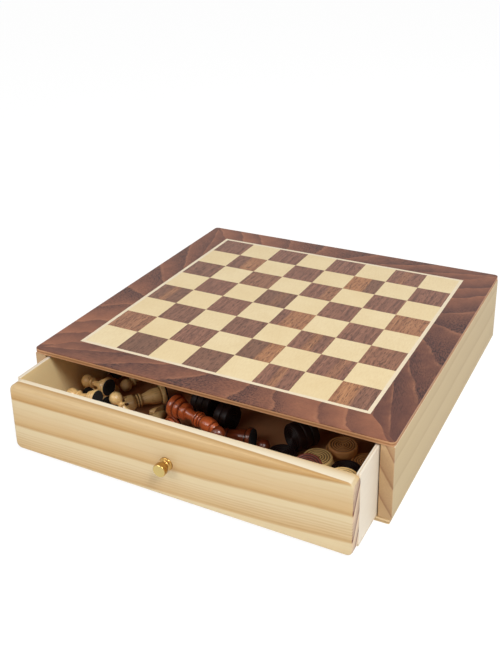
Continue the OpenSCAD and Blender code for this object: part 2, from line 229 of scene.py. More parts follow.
def new_finish(name, attribute=None):
    """A new material, and the place in it: the object's own coordinates, or a vector that its mesh keeps."""
    finish = bpy.data.materials.new(name)
    finish.use_nodes = True
    nodes = finish.node_tree.nodes
    if attribute is None:
        return finish, Shade(nodes.new("ShaderNodeTexCoord").outputs["Object"])
    reader = nodes.new("ShaderNodeAttribute")
    reader.attribute_name = attribute
    return finish, Shade(reader.outputs["Vector"])


def lay_on(finish, colour, roughness, relief=None, depth=0.0, **even):
    """Feeds the shader its colour, its roughness, a relief from 0 to 1 that is `depth` metres deep, and
    values that are the same all over."""
    shader = finish.node_tree.nodes["Principled BSDF"]
    even = {key.replace("_", " ").title().replace("Ior", "IOR"): value for key, value in even.items()}
    for key, value in {"Base Color": colour, "Roughness": roughness, **even}.items():
        if isinstance(value, Shade):
            finish.node_tree.links.new(value.socket, shader.inputs[key])
        else:
            shader.inputs[key].default_value = value
    if relief is not None:
        bump = relief.node("ShaderNodeBump", {}, {"Strength": 1.0, "Distance": depth, "Height": relief})
        finish.node_tree.links.new(bump.socket, shader.inputs["Normal"])


core_low, core_high = (np.array(v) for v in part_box("board_core"))
ply_t = (core_high[2] - core_low[2]) / 3
board_corner = 3 * mm

bare_ply, place = new_finish("bare_plywood_edge")
fibre = place.scaled(1.0, 1.0, 6.0).noise(420, 3, 0.65)
layer = (place.axes()[2] - float(core_low[2])) / float(ply_t)
core_ply = layer.step(0.93, 1.05) * layer.step(2.1, 1.95)
pale_ply = fibre.mix(hue(178, 124, 80), hue(208, 160, 118))
tan_ply = fibre.mix(hue(138, 90, 50), hue(176, 124, 78))
lay_on(bare_ply, core_ply.mix(pale_ply, tan_ply), 0.62, fibre, 0.12 * mm)

fit(skin("core_board", [planed(core_low, core_high, (0.3 * mm, 0.02 * mm), board_corner)]),
    bare_ply, "case", "plywood", "board_core")

# ---- The walnut border ----
# Four strips of figured walnut veneer, cut one after another from the same leaves, so the figure runs on
# from strip to strip around the board. They are mitred, glued on the plywood, sanded and lacquered.

border_low, border_high = (np.array(v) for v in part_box("walnut_border"))
line_high = np.array(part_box("stringing")[1])
strip_w = float(border_high[1] - line_high[1])


def frame_of_strips(outer, inner, low, high, edge, corner):
    """A flat frame: a section carried round the board's outline. The section runs up the outside, over a
    quarter round of radius `edge`, in over the top to the inner outline, and down. Returns [row, column, 3]."""
    rounding = quarter_round(edge, 0.1 * mm)[::-1]
    radius = corner + 0.4 * mm
    outside = [outline(outer - d, radius - d) for d in np.concatenate([[0.0], rounding[:, 0]])]
    inside = [outline(inner, 0.02 * mm)] * 2
    height = np.concatenate([[low], high - rounding[:, 1], [high, low]])
    rows = np.array(outside + inside)
    return np.concatenate([rows, np.repeat(height[:, None, None], rows.shape[1], axis=1)], axis=2)


def vector(x, y, z):
    """A vector of three Shades."""
    return x.node("ShaderNodeCombineXYZ", {}, {0: x, 1: y, 2: z})


# Where the bright late wood of each ring meets the inner edge of a strip, in mm from the strip's middle. The
# colours are laid out over `half_run` mm to each side of it, and the rings after `paler_rings` are paler.
ring_ends, half_run, paler_rings = (-142, -112, -74, -37, -3, 29, 52, 86, 107, 131, 149), 150, 5

walnut, place = new_finish("figured_walnut")
x, y = place.axes()[:2]
# On the strips at the left and right the figure is turned a quarter, so it always runs on to the right hand.
far_x, far_y, sign_x, sign_y = x.maths("ABSOLUTE"), y.maths("ABSOLUTE"), x.maths("SIGN"), y.maths("SIGN")
side = (far_x - (far_y + float(border_high[0] - border_high[1]))).maths("GREATER_THAN", 0.0)
front_or_back = 1 - side
forward = side * sign_x * y - front_or_back * sign_y * x
outward = side * far_x + front_or_back * far_y
strip = side * (sign_x + 2) + front_or_back * sign_y * 0.5
out = ((outward - float(line_high[1])) / strip_w).maths("MAXIMUM", 0.0)
leaf = vector(forward, outward, strip * 0.7)
drift = (leaf.noise(26, 2, 0.55) - 0.5) * (18 * mm) + (leaf.noise(110, 2, 0.6) - 0.5) * (5 * mm)
along = forward + drift
# The rings lean forwards at the strip's start and back at its end: f + lean (f) out = place along the strip.
leaning = (along + out * (27.7 * mm)) / (out * 0.73 + 1)
ring = leaning.maths("MAXIMUM", along - out ** 1.6 * (12 * mm))
stops = []
for k, (start, end) in enumerate(zip(ring_ends[:-1], ring_ends[1:])):
    low, high = (start / half_run + 1) / 2, (end / half_run + 1) / 2
    width = high - low
    warm = 0.95 if k > paler_rings else 0.55
    stops += [(low + 0.02 * width, (0.20 * warm, 0, 0, 1)), (high - 0.12 * width, (0.85 * warm, 0.1, 0, 1)),
              (high - 0.03 * width, (0.9 * warm, 1, 0, 1))]
# The first part of the figure goes from early to late wood, and the second is 1 in the bright line between rings.
figure = (ring / (2 * half_run * mm) + 0.5).ramp(stops).axes()
pores = vector(ring, out * 0.016, strip).noise(900, 2, 0.66)
cloud = leaf.noise(75, 3, 0.65)
early = figure[0].step(0.52, 0.10)
heart = forward.step(-125 * mm, -85 * mm) * forward.step(92 * mm, 50 * mm) * 0.8 + out * 0.2
flecked = heart * leaf.noise(45, 2, 0.6).step(0.22, 0.50) * 0.85 + 0.15
flecks = pores.step(0.48, 0.55) * (early * 0.75 + 0.25) * flecked
right_strip = side * (sign_x + 1) * 0.5
body = (figure[0] * 0.85 + (cloud - 0.5) * 0.7 + 0.06 - right_strip * 0.22).mix(hue(98, 60, 50), hue(162, 104, 76))
figured = (figure[1] * cloud.step(0.25, 0.7) * 0.45).mix(body, hue(192, 134, 100))
figured = (flecks * 0.92).mix(figured, hue(44, 30, 30))
lay_on(walnut, figured, pores * 0.14 + 0.4, pores, 0.04 * mm, specular_ior_level=0.22)

strips = frame_of_strips(border_high[:2], line_high[:2], border_low[2], border_high[2], 0.3 * mm, board_corner)
fit(skin("border_veneer", [strips], closed="ring"), walnut, "case", "walnut_veneer", "walnut_border")

# ---- The pale line and the light squares ----
# Maple veneer, glued edge to edge with the walnut. Each square is a piece of its own with its grain from
# front to back, so neighbours differ a little. The line is the same veneer, a shade lighter.


def dress(node, finish):
    """Gives a solid that is shown as it is its finish."""
    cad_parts[node].data.materials.clear()
    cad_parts[node].data.materials.append(finish)


def veneer_place(place, square, field):
    """The place in a leaf of veneer, of which each square reads its own stretch, and the number from 0 to 1 that
    sets the stretch: a sine of the square's column and row."""
    x, y, z = place.axes()
    column = ((x + field / 2) / square).maths("FLOOR")
    row = ((y + field / 2) / square).maths("FLOOR")
    apart = ((column * 12.9898 + row * 78.233).maths("SINE") * 43.7585).maths("FRACT")
    return vector(x + apart * 3.1, y + apart * 1.7, z), apart


field = float(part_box("light_squares")[1][0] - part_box("light_squares")[0][0])
square = field / 8

maple, place = new_finish("maple_squares")
leaf, apart = veneer_place(place, square, field)
silk = leaf.scaled(5.0, 1.0, 1.0).noise(240, 3, 0.6)
cloud = leaf.noise(38, 2, 0.5)
cream = (silk + cloud * 0.7 - 0.35).mix(hue(226, 199, 148), hue(248, 229, 186))
cream = (apart * 0.35).mix(cream, hue(235, 207, 152))
lay_on(maple, cream, 0.38, silk, 0.015 * mm, specular_ior_level=0.3)

line_maple, place = new_finish("maple_line")
silk = place.noise(260, 2, 0.6)
lay_on(line_maple, silk.mix(hue(232, 212, 176), hue(246, 230, 200)), 0.36, silk, 0.015 * mm)

dress("light_squares", maple)
dress("stringing", line_maple)

# ---- The dark squares ----
# Straight-grained walnut, also with the grain from front to back. Some squares come from the edge of the
# heartwood and have an orange-brown band along one side.

# Squares with an orange-brown part: [column, row, from, to, strength], counted from the near left corner,
# where from and to are shares of the square's width.
orange_parts = [(7, 0, -0.2, 0.52, 1.0), (5, 0, 0.42, 0.62, 0.7), (4, 1, 0.50, 1.2, 1.0), (0, 1, -0.2, 1.2, 0.55),
                (5, 2, 0.38, 0.66, 0.7), (4, 3, 0.30, 1.2, 0.9), (0, 3, 0.40, 0.62, 0.6), (7, 4, -0.2, 1.2, 0.7),
                (4, 5, 0.62, 0.95, 0.6), (1, 6, 0.48, 1.2, 0.8), (5, 6, -0.2, 0.62, 1.2), (6, 7, 0.35, 0.6, 0.4),
                (2, 5, -0.2, 1.2, 0.25), (7, 2, -0.2, 1.2, 0.25), (6, 1, 0.5, 0.8, 0.4), (3, 4, 0.5, 0.7, 0.3)]

dark_walnut, place = new_finish("walnut_squares")
x, y = place.axes()[:2]
leaf, apart = veneer_place(place, square, field)
lx, ly, lz = leaf.axes()
wander = (vector(lx, ly * 0.6, lz).noise(24, 1, 0.5) - 0.5) * (5 * mm)
lines = vector(lx + wander, ly * 0.05, lz).noise(380, 3, 0.66)
pores = vector(lx + wander, ly * 0.16, lz).noise(1100, 2, 0.7)
across_x, across_y = x / square + 4, y / square + 4
wavering = across_x + wander * 60
part = x * 0
for column, row, start, end, amount in orange_parts:
    inside = (wavering - column).step(start - 0.06, start + 0.06) * (wavering - column).step(end + 0.06, end - 0.06)
    here = (across_x - column - 0.5).maths("ABSOLUTE").maths("LESS_THAN", 0.5) * (
        across_y - row - 0.5).maths("ABSOLUTE").maths("LESS_THAN", 0.5)
    part = part + inside * here * amount
tone = (lines * 2.0 - 0.5).mix(hue(94, 60, 50), hue(168, 118, 94))
tone = (apart.step(0.55, 0.95) * 0.55).mix(tone, leaf.noise(60, 3, 0.6).mix(hue(96, 70, 54), hue(134, 98, 74)))
orange = (lines * 1.7 - 0.35).mix(hue(142, 90, 62), hue(204, 148, 102))
tone = (part * (lines * 0.5 + 0.65)).maths("MINIMUM", 1.0).mix(tone, orange)
tone = (pores.step(0.52, 0.64) * 0.65).mix(tone, hue(64, 40, 34))
lay_on(dark_walnut, tone, pores * 0.12 + 0.38, pores, 0.03 * mm, specular_ior_level=0.25)

dress("dark_squares", dark_walnut)

# ---- The walls of the case ----
# Pine boards 10 mm thick, planed on all sides with broken edges. The growth rings run through at a slant,
# so they show as soft streaks on the faces and as diagonal bands on the end grain at the front.


def pine(name, along, through, slant, drift, rings, fine_lines, reach, top, light, tan, late_line, ends):
    """Lacquered pine. A ring's place is its height plus slant times the depth through the board, less a drift
    along it. Each ring (height, width, darkness) goes slowly from pale early wood to tan late wood, and stops
    at its lower edge with a darker line. `fine_lines` lists narrow rings (height, darkness). On the sawn ends,
    `reach` = (middle, half the length) along the board, the rings have two other colours, `ends`. The edge that
    faces up, at the height `top`, is paler where no late wood crosses it: a painted highlight of light from above."""
    finish, place = new_finish(name)
    parts = place.axes()
    length, height, depth = parts[along], parts[2], parts[through]
    end = (length - reach[0]).maths("ABSOLUTE").step(reach[1] - 0.9 * mm, reach[1] - 0.4 * mm)
    waver = (vector(length * 0.30, height, depth).noise(24, 2, 0.5) - 0.5) * (6 * mm)
    waver = waver + (vector(length * 0.12, height, depth).noise(150, 2, 0.5) - 0.5) * (1.4 * mm)
    level = height + depth * slant - drift(length) + waver
    tanned = (vector(length * 0.08, height, depth).noise(60, 2, 0.5) - 0.5) * 0.35 + 0.03
    lined = length * 0
    for at, width, amount in rings:
        above = (level - at) / width
        edge = above.step(-0.09, 0.05)
        tanned = tanned + (1 - above).maths("MAXIMUM", 0.0) ** 1.3 * edge * amount
        lined = lined + (1 - (level - at) / (3.6 * mm)).maths("MAXIMUM", 0.0) ** 1.3 * edge * amount
    for at, amount in fine_lines:
        lined = lined + (1 - ((level - at) / (1.1 * mm)).maths("ABSOLUTE")).maths("MAXIMUM", 0.0) * amount
    fine = vector(length * 0.04, height + waver, depth).noise(800, 3, 0.65)
    patch = vector(length * 0.2, height, depth).noise(90, 2, 0.6)
    colour = (tanned + (fine - 0.5) * 0.35).mix(light, tan)
    colour = (lined * (fine * 0.7 + patch * 0.7 - 0.1)).maths("MINIMUM", 1.0).mix(colour, late_line)
    # Painted highlight: the upward edge is paler, as if lit from above.
    painted_top_highlight = height.step(top - 0.8 * mm, top - 0.2 * mm) * (1 - tanned * 2).maths("MAXIMUM", 0.0)
    colour = (painted_top_highlight * 0.75).mix(colour, hue(250, 238, 214))
    sawn = (tanned * 0.9 + lined * 0.9 + (fine - 0.5) * 0.3).maths("MINIMUM", 1.0).mix(*ends)
    lay_on(finish, end.mix(colour, sawn), 0.42, fine, 0.02 * mm, specular_ior_level=0.3)
    return finish


ring_slant, wall_edge = 1.7, 0.5 * mm
walls = {"left_side_board": ("left_wall", 1), "right_side_board": ("right_wall", 1), "back_board": ("back_wall", 0)}
for node, (name, along) in walls.items():
    low, high = (np.array(v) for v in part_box(node))
    through = 1 - along
    slant = -ring_slant if node == "left_side_board" else ring_slant
    shift = slant * float(high[through])
    wall_pine = pine(name + "_pine", along, through, slant, lambda s: s * 0.012,
                     [(h * mm + shift, w * mm, 0.4) for h, w in ((7, 16), (30, 22), (52, 16))],
                     [(h * mm + shift, 0.05) for h in (4, 22, 26, 44)],
                     (float(low[along] + high[along]) / 2, float(high[along] - low[along]) / 2), float(high[2]),
                     hue(196, 172, 124), hue(178, 149, 98), hue(162, 126, 78), (hue(194, 160, 118), hue(128, 78, 50)))
    fit(skin(name, [planed(low, high, (wall_edge, wall_edge), wall_edge, along)]), wall_pine, "case", "pine", node)

# ---- The bottom of the case ----
# A 3 mm plywood panel, glued and pinned under the walls. It stands out a little in front of them.

base_low, base_high = (np.array(v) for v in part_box("bottom_panel"))
base_ply, place = new_finish("base_plywood")
x, y, z = place.axes()
fibre = vector(x * 0.1, y, z * 4).noise(500, 3, 0.6)
middle_ply = (z / mm).step(0.95, 1.05) * (z / mm).step(2.05, 1.95)
lay_on(base_ply, middle_ply.mix(fibre.mix(hue(212, 182, 134), hue(232, 208, 166)),
                                fibre.mix(hue(176, 138, 90), hue(198, 160, 112))), 0.55, fibre, 0.05 * mm)
fit(skin("base_panel", [planed(base_low, base_high, (0.3 * mm, 0.3 * mm), 0.6 * mm)]),
    base_ply, "case", "plywood", "bottom_panel")

# ---- The drawer front ----
# One pine board 11 mm thick with rounded corners, its outer edges broken with sandpaper. The rings cross it at
# a steep slant: two strong ones show on the face as long lines that rise to the right, over a few fine ones.

face_low, face_high = (np.array(v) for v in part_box("drawer_front"))
face_top = face_high - np.array([0, 0, 0.7 * mm])
face_w = float(face_high[0] - face_low[0])
shift = -ring_slant * float(face_low[1])
front_pine = pine("drawer_front_pine", 0, 1, -ring_slant, lambda s: (s / face_w + 0.5) ** 2 * (10.7 * mm),
                  [(h * mm + shift, w * mm, d) for h, w, d in
                   ((47.3, 18, 0.95), (25.3, 21, 0.80), (4.0, 16, 0.55), (-12, 12, 0.8))],
                  [(h * mm + shift, d) for h, d in
                   ((56.5, 0.3), (53.5, 0.2), (50.5, 0.3), (40.0, 0.12), (34.0, 0.15), (18.5, 0.3),
                    (16.2, 0.3), (14.0, 0.45), (11.8, 0.5), (9.8, 0.5), (7.6, 0.5), (5.5, 0.4))],
                  (0.0, float(face_high[0])), float(face_top[2]), hue(220, 200, 160), hue(200, 158, 99),
                  hue(172, 126, 68), (hue(224, 196, 162), hue(112, 62, 46)))
# Its front edges are sanded rounder at the left end than at the right, so one grid goes over into another.
rounder = planed(face_low, face_top, (2.8 * mm, 0.3 * mm), 5.0 * mm, 1)
crisper = planed(face_low, face_top, (0.9 * mm, 0.3 * mm), 4.2 * mm, 1)
rightness = (rounder[..., :1] - face_low[0]) / face_w
fit(skin("drawer_face", [rounder + (crisper - rounder) * rightness]), front_pine, "drawer", "pine", "drawer_front")

# ---- The drawer's sides, back and floor ----
# Three-ply pale wood 3 mm thick, glued up as a tray behind the front. The sides stand on the floor's edge.


def tray_ply(name, through, low, high, inner_end, inner):
    """Pale plywood whose plies lie across the axis `through`, so the thin edges show a tan line in the middle.
    The face towards the men, at the low (0) or the high (1) end of that axis, has the two colours `inner`: painted
    warm bounce light on the sides, painted shade on the back and the floor."""
    finish, place = new_finish(name)
    parts = place.axes()
    fibre = place.scaled(*((0.06, 1.0, 1.0) if through == 1 else (1.0, 0.06, 1.0))).noise(520, 3, 0.6)
    cloud = place.noise(30, 2, 0.5)
    depth = (parts[through] - float(low[through])) / float(high[through] - low[through])
    middle = depth.step(0.36, 0.42) * depth.step(0.66, 0.60)
    face = (fibre * 0.5 + cloud * 0.5).mix(hue(226, 212, 190), hue(240, 230, 212))
    face = (middle * 0.5).mix(face, fibre.mix(hue(190, 156, 114), hue(216, 186, 146)))
    # The face towards the men takes the painted light and shade colours `inner`.
    inside = depth.step(0.96, 0.99) if inner_end else depth.step(0.04, 0.01)
    lay_on(finish, inside.mix(face, (fibre * 0.5 + cloud * 0.5).mix(*inner)), 0.55, fibre, 0.03 * mm)
    return finish


# Painted light in the drawer: warm bounce light on the inner sides, and brown shade on the back and the floor.
painted_bounce_side, painted_shade_floor = (hue(252, 216, 156), hue(255, 236, 182)), (hue(170, 112, 74), hue(200, 142, 98))
for node, name, along, through, inner_end, inner in (
        ("drawer_left_side", "tray_left", 1, 0, 1, painted_bounce_side),
        ("drawer_right_side", "tray_right", 1, 0, 0, painted_bounce_side),
        ("drawer_back", "tray_back", 0, 1, 0, painted_shade_floor),
        ("drawer_floor", "tray_floor", 1, 2, 1, painted_shade_floor)):
    low, high = (np.array(v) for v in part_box(node))
    fit(skin(name, [planed(low, high, (0.2 * mm, 0.2 * mm), 0.25 * mm, along)]),
        tray_ply(name + "_ply", through, low, high, inner_end, inner), "drawer", "pale_plywood", node)

# ---- The knob and its screw ----
# A small turned brass knob, polished, with a flange against the wood, a neck and a head with a flat, worn face.
# A zinc-plated screw holds it from inside the drawer.


def smooth(points, count=6):
    """A curve through points [n, 2]: between two of them it is the cubic whose slope at each is half the
    step from the point before to the point after."""
    p = np.array(points, float)
    ends = np.concatenate([[2 * p[0] - p[1]], p, [2 * p[-1] - p[-2]]])
    t = np.linspace(0, 1, count, endpoint=False)[:, None, None]
    a, b, c, d = ends[:-3], ends[1:-2], ends[2:-1], ends[3:]
    curve = 0.5 * (2 * b + (c - a) * t + (2 * a - 5 * b + 4 * c - d) * t ** 2 + (3 * b - a - 3 * c + d) * t ** 3)
    return np.concatenate([curve.transpose(1, 0, 2).reshape(-1, 2), p[-1:]])


def turned(profile, columns=48):
    """A profile [radius, height] turned about the upright axis: (r cos a, r sin a, h). Returns [row, column, 3]."""
    a = np.linspace(0, 2 * np.pi, columns, endpoint=False)
    r, h = np.array(profile)[:, 0, None], np.array(profile)[:, 1, None]
    return np.stack([r * np.cos(a), r * np.sin(a), h + 0 * a], axis=2)


# A turned profile begins and ends this far from its axis.
pole = 0.001 * mm
knob_low, knob_high = (np.array(v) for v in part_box("knob"))
knob_out, flange_r = float(knob_high[1] - knob_low[1]), float(knob_high[0] - knob_low[0]) / 2
head_r, neck_r = 5.0 * mm, 3.0 * mm
knob_axis = (knob_low + knob_high) / 2
knob_profile = np.concatenate([
    [[pole, 0], [flange_r - 0.2 * mm, 0], [flange_r, 0.2 * mm], [flange_r, 0.8 * mm]],
    smooth([[flange_r - 0.3 * mm, 1.2 * mm], [flange_r - 1.1 * mm, 1.6 * mm], [neck_r + 0.4 * mm, 2.0 * mm],
            [neck_r, 2.8 * mm], [neck_r, 4.0 * mm], [neck_r + 0.7 * mm, 4.8 * mm], [head_r - 0.6 * mm, 5.3 * mm]]),
    smooth([[head_r - 0.2 * mm, 5.6 * mm], [head_r, 6.3 * mm], [head_r, 9.0 * mm], [head_r - 0.15 * mm, 9.6 * mm],
            [head_r - 0.6 * mm, knob_out - 0.5 * mm], [head_r - 1.4 * mm, knob_out - 0.3 * mm]]),
    [[0.6 * head_r, knob_out - 0.22 * mm], [0.5 * head_r, knob_out - 0.2 * mm], [pole, knob_out]]])
knob_grid = turned(knob_profile, 64) @ np.array([[1, 0, 0], [0, 0, 1], [0, -1, 0]])
knob_grid += np.array([knob_axis[0], knob_high[1], knob_axis[2]])

brass, place = new_finish("polished_brass")
smear = place.noise(500, 3, 0.6)
spots = place.noise(2600, 2, 0.6)
worn_face = place.axes()[1].step(float(knob_low[1]) + 0.9 * mm, float(knob_low[1]) + 0.5 * mm)
lay_on(brass, worn_face.mix((smear * 0.8).mix(hue(214, 170, 98), hue(120, 86, 44)), hue(202, 178, 114)),
       spots * 0.16 + 0.12, smear, 0.05 * mm, metallic=1.0)
fit(skin("brass_knob", [knob_grid]), brass, "drawer", "brass", "knob")

zinc, place = new_finish("zinc_screw")
cloud = place.noise(1400, 3, 0.6)
lay_on(zinc, cloud.mix(hue(150, 150, 148), hue(196, 198, 200)), cloud * 0.2 + 0.3, cloud, 0.02 * mm, metallic=1.0)
dress("knob_screw", zinc)

# ---- The chessmen ----
# Both sides are turned from the same patterns, about three to seven centimetres high, sanded and dipped in
# gloss lacquer: one side bare boxwood, the other stained red. They lie in the drawer as they were thrown in.


def bead(radius, low, high, out):
    """A turned bead from height low to high: radius + out sin a, with a from 0 to 180 degrees."""
    a = np.linspace(0, np.pi, 11)
    return np.stack([radius + out * np.sin(a), low + (high - low) * (1 - np.cos(a)) / 2], axis=1)


def foot(top):
    """The foot that all men share, up to the height `top`: three beads with grooves between them."""
    return np.concatenate([[[0.0001, 0], [0.9, 0]], bead(0.91, 0.01 * top, 0.3 * top, 0.09),
                           bead(0.79, 0.33 * top, 0.63 * top, 0.10), bead(0.65, 0.66 * top, top, 0.09)])


def man(r, h, *parts, ball=None):
    """A man's profile. Its parts are given as shares of his base's radius r and of his height h. On top comes a
    ball, (radius as a share of r, angle that it starts from): b cos a, h - b + b sin a, up to its pole."""
    whole = np.concatenate(parts) * [r, h]
    if ball:
        b, a = ball[0] * r, np.radians(np.linspace(ball[1], 90, 20))
        whole = np.concatenate([whole, np.stack([b * np.cos(a) + pole, h - b + b * np.sin(a)], axis=1)])
    return whole


pawn_r, pawn_h = 7.5 * mm, 30 * mm
pawn_profile = man(
    pawn_r, pawn_h, foot(0.26), smooth([[0.62, 0.27], [0.5, 0.29], [0.36, 0.4], [0.29, 0.54]]),
    bead(0.32, 0.56, 0.62, 0.26), ball=(0.7, -62))

rook_r, rook_h = 8.5 * mm, 34 * mm
rook_profile = man(
    rook_r, rook_h, [[0.0001, 0], [0.9, 0]], bead(0.94, 0.003, 0.1, 0.06),
    smooth([[0.72, 0.12], [0.78, 0.16], [0.79, 0.26], [0.69, 0.38], [0.55, 0.52], [0.5, 0.58]]),
    bead(0.52, 0.6, 0.65, 0.14), bead(0.52, 0.67, 0.71, 0.12),
    smooth([[0.56, 0.74], [0.74, 0.8], [0.76, 0.86], [0.76, 0.985]]), smooth([[0.745, 1.0], [0.555, 1.0]], 4),
    smooth([[0.54, 0.985], [0.54, 0.94], [0.54, 0.905], [0.45, 0.9], [0.0002, 0.9]], 3))

knight_r, knight_h = 8.5 * mm, 38 * mm
knight_profile = man(
    knight_r, knight_h, foot(0.24),
    smooth([[0.66, 0.26], [0.64, 0.28], [0.58, 0.3], [0.4, 0.305], [0.0002, 0.305]], 4))
head_t = 0.45 * knight_r

bishop_r, bishop_h = 9 * mm, 52 * mm
bishop_profile = man(
    bishop_r, bishop_h, foot(0.3), smooth([[0.6, 0.305], [0.48, 0.32], [0.43, 0.38], [0.4, 0.46]]),
    bead(0.5, 0.47, 0.51, 0.12), bead(0.56, 0.52, 0.56, 0.12), bead(0.5, 0.57, 0.6, 0.08),
    smooth([[0.52, 0.605], [0.56, 0.63], [0.66, 0.68], [0.67, 0.73], [0.6, 0.8], [0.42, 0.87], [0.24, 0.9]], 14),
    ball=(0.28, -40))

queen_r, queen_h = 9.5 * mm, 57 * mm
queen_profile = man(
    queen_r, queen_h, foot(0.28), smooth([[0.64, 0.285], [0.5, 0.31], [0.4, 0.4], [0.35, 0.56]]),
    bead(0.42, 0.57, 0.61, 0.2), bead(0.44, 0.62, 0.65, 0.12),
    smooth([[0.42, 0.66], [0.44, 0.68], [0.58, 0.8], [0.71, 0.88]]),
    smooth([[0.69, 0.893], [0.6, 0.9], [0.36, 0.93], [0.18, 0.94]]), ball=(0.2, -30))

king_r, king_h = 10 * mm, 60 * mm
king_profile = man(
    king_r, king_h, foot(0.28), smooth([[0.64, 0.285], [0.5, 0.31], [0.4, 0.4], [0.35, 0.56]]),
    bead(0.42, 0.57, 0.61, 0.2), bead(0.44, 0.62, 0.65, 0.12),
    smooth([[0.42, 0.66], [0.44, 0.68], [0.58, 0.86], [0.66, 0.92]]),
    smooth([[0.64, 0.93], [0.52, 0.95], [0.2, 0.98], [0.16, 1.0], [0.0002, 1.0]], 4))


def rook():
    """The turned rook with its battlements: where a point of the rim is less than half a saw cut from one of
    three lines through the axis, its height is held at the bottom of the cut."""
    grid = turned(rook_profile, 144)
    x, y, h = grid[..., 0], grid[..., 1], grid[..., 2]
    beside = np.min([np.abs(x * np.sin(a) - y * np.cos(a)) for a in np.radians([0, 60, 120])], axis=0)
    in_cut = (beside < 0.85 * mm) & (np.hypot(x, y) > 0.5 * rook_r)
    grid[..., 2] = np.where(in_cut, np.minimum(h, 0.93 * rook_h), h)
    return [grid]


def bishop():
    """The turned bishop with the saw cut in its mitre: a slab 1 mm thick that rises outwards at 35 degrees from
    a line near the axis. Points in the slab are drawn in to that line's distance."""
    grid = turned(bishop_profile, 96)
    x, h = -grid[..., 0], grid[..., 2]
    inner, low, slope = 0.15 * bishop_r, 0.76 * bishop_h, np.radians(35)
    over = (h - low) * np.cos(slope) - (x - inner) * np.sin(slope)
    depth = np.where((over > 0) & (over < 1.1 * mm) & (x > 1.6 * inner), 1.6 * inner / np.maximum(x, 1e-6), 1.0)
    grid[..., :2] *= depth[..., None]
    return [grid]


def knight():
    """The knight: a turned foot, and a head carved as sections from mane to throat. Station by station, the
    section is an oval whose long axis runs from the back line to the front line of the head."""
    back = smooth(np.array([[-5.0, 10.5], [-5.5, 15], [-5.6, 20], [-5.0, 26], [-3.4, 31], [-0.8, 35], [0.9, 37.9],
                            [2.2, 34.6], [4.6, 32.2], [6.8, 29.4], [8.3, 27.0], [8.9, 25.2]]) * mm, 8)
    front = smooth(np.array([[5.0, 10.5], [4.6, 14], [3.2, 17.6], [2.6, 20.4], [2.9, 22.0], [3.4, 22.7], [3.9, 23.2],
                             [4.6, 23.6], [5.6, 23.6], [6.6, 23.1], [7.6, 22.9], [8.4, 23.4]]) * mm, 8)
    u = np.linspace(0, 1, len(back))[:, None]
    a = np.linspace(0, 2 * np.pi, 48, endpoint=False)[None, :]
    thick = head_t * np.interp(u, [0, 0.2, 0.45, 0.6, 0.8, 1], [1, 0.92, 0.88, 0.9, 0.72, 0.42])
    middle, reach = (back + front) / 2, (back - front) / 2
    # The mane is combed in waves along the back line.
    comb = 1 + 0.035 * np.sin(u * 95) * np.exp(-(a - np.pi * 2 * (a > np.pi)) ** 2 / 0.3) * (u < 0.5)
    x = thick * np.sign(np.sin(a)) * np.abs(np.sin(a)) ** 0.8
    y = middle[:, :1] + reach[:, :1] * np.cos(a) * comb
    z = middle[:, 1:] + reach[:, 1:] * np.cos(a) * comb
    # The cheek is raised, and the eye, the nostril and the neck are cut in: how much, where and how wide, in mm.
    relief = 1.0
    for amount, at_y, at_z, wide in ((0.2, 3.6, 26.4, 2.2), (-0.3, 4.4, 30.0, 0.7), (-0.35, 7.6, 24.7, 0.6),
                                     (-0.2, -1.2, 24, 1.6)):
        relief += amount * np.exp(-((y - at_y * mm) ** 2 + (z - at_z * mm) ** 2) / (wide * mm) ** 2)
    x = x * relief
    return [turned(knight_profile, 64), np.stack([x, y, z], axis=2)]


def king():
    """The turned king with a plain cross on its crown."""
    arm, reach, rise, edge = 0.9 * mm, 2.2 * mm, king_h + 2 * mm, 0.25 * mm
    post = planed([-arm, -arm, king_h - 0.5 * mm], [arm, arm, king_h + 5 * mm], (0.1 * mm, edge))
    bar = planed([-arm, -reach, rise], [arm, reach, rise + 1.6 * mm], (edge, edge), 0, 1)
    return [turned(king_profile, 64), post, bar]


men = {
    "pawn": (pawn_profile, [turned(pawn_profile, 56)]), "rook": (rook_profile, rook()),
    "knight": (np.concatenate([knight_profile, [[head_t, 0.45 * knight_h], [head_t, knight_h]]]), knight()),
    "bishop": (bishop_profile, bishop()), "queen": (queen_profile, [turned(queen_profile, 64)]),
    "king": (king_profile, king())}
felt_t, felt_inset, seat = 1 * mm, 0.8 * mm, 0.15 * mm
tray_front, tray_floor = float(face_high[1]), float(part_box("drawer_floor")[1][2])


def rest_slope(profile):
    """How far a lying man's axis rises: he lies on the rim of his base and on the widest part of his head."""
    rim = profile[np.argmax(profile[:, 0])]
    above = profile[profile[:, 1] > rim[1] + 4 * mm]
    return -np.degrees(np.min(np.arctan2(rim[0] - above[:, 0], above[:, 1] - rim[1])))


def tipped(tip, heading):
    """The turn, for points as rows, that tips a piece by `tip` degrees about +Y and swings it to `heading`."""
    t, a = np.radians([tip, heading])
    over = np.array([[np.cos(t), 0, np.sin(t)], [0, 1, 0], [-np.sin(t), 0, np.cos(t)]])
    swing = np.array([[np.cos(a), -np.sin(a), 0], [np.sin(a), np.cos(a), 0], [0, 0, 1]])
    return (swing @ over).T


def in_tray(u, v, height):
    """A place in the drawer: u mm across it, v mm behind its front, and that height above its floor."""
    return np.array([u * mm, tray_front + v * mm, tray_floor + seat + height])


def laid(profile, u, v, heading, lift=0.0, slope=None):
    """The turn and the shift that lay a man, by his base's centre, his heading, the height of what he lies on,
    and how far his axis rises."""
    slope = rest_slope(profile) if slope is None else slope
    touching = np.concatenate([profile, [[profile[:, 0].max() - felt_inset, -felt_t]]])
    rise = np.max(touching[:, 0] * np.cos(np.radians(slope)) - touching[:, 1] * np.sin(np.radians(slope)))
    return tipped(90 - slope, heading), in_tray(u, v, lift + rise)


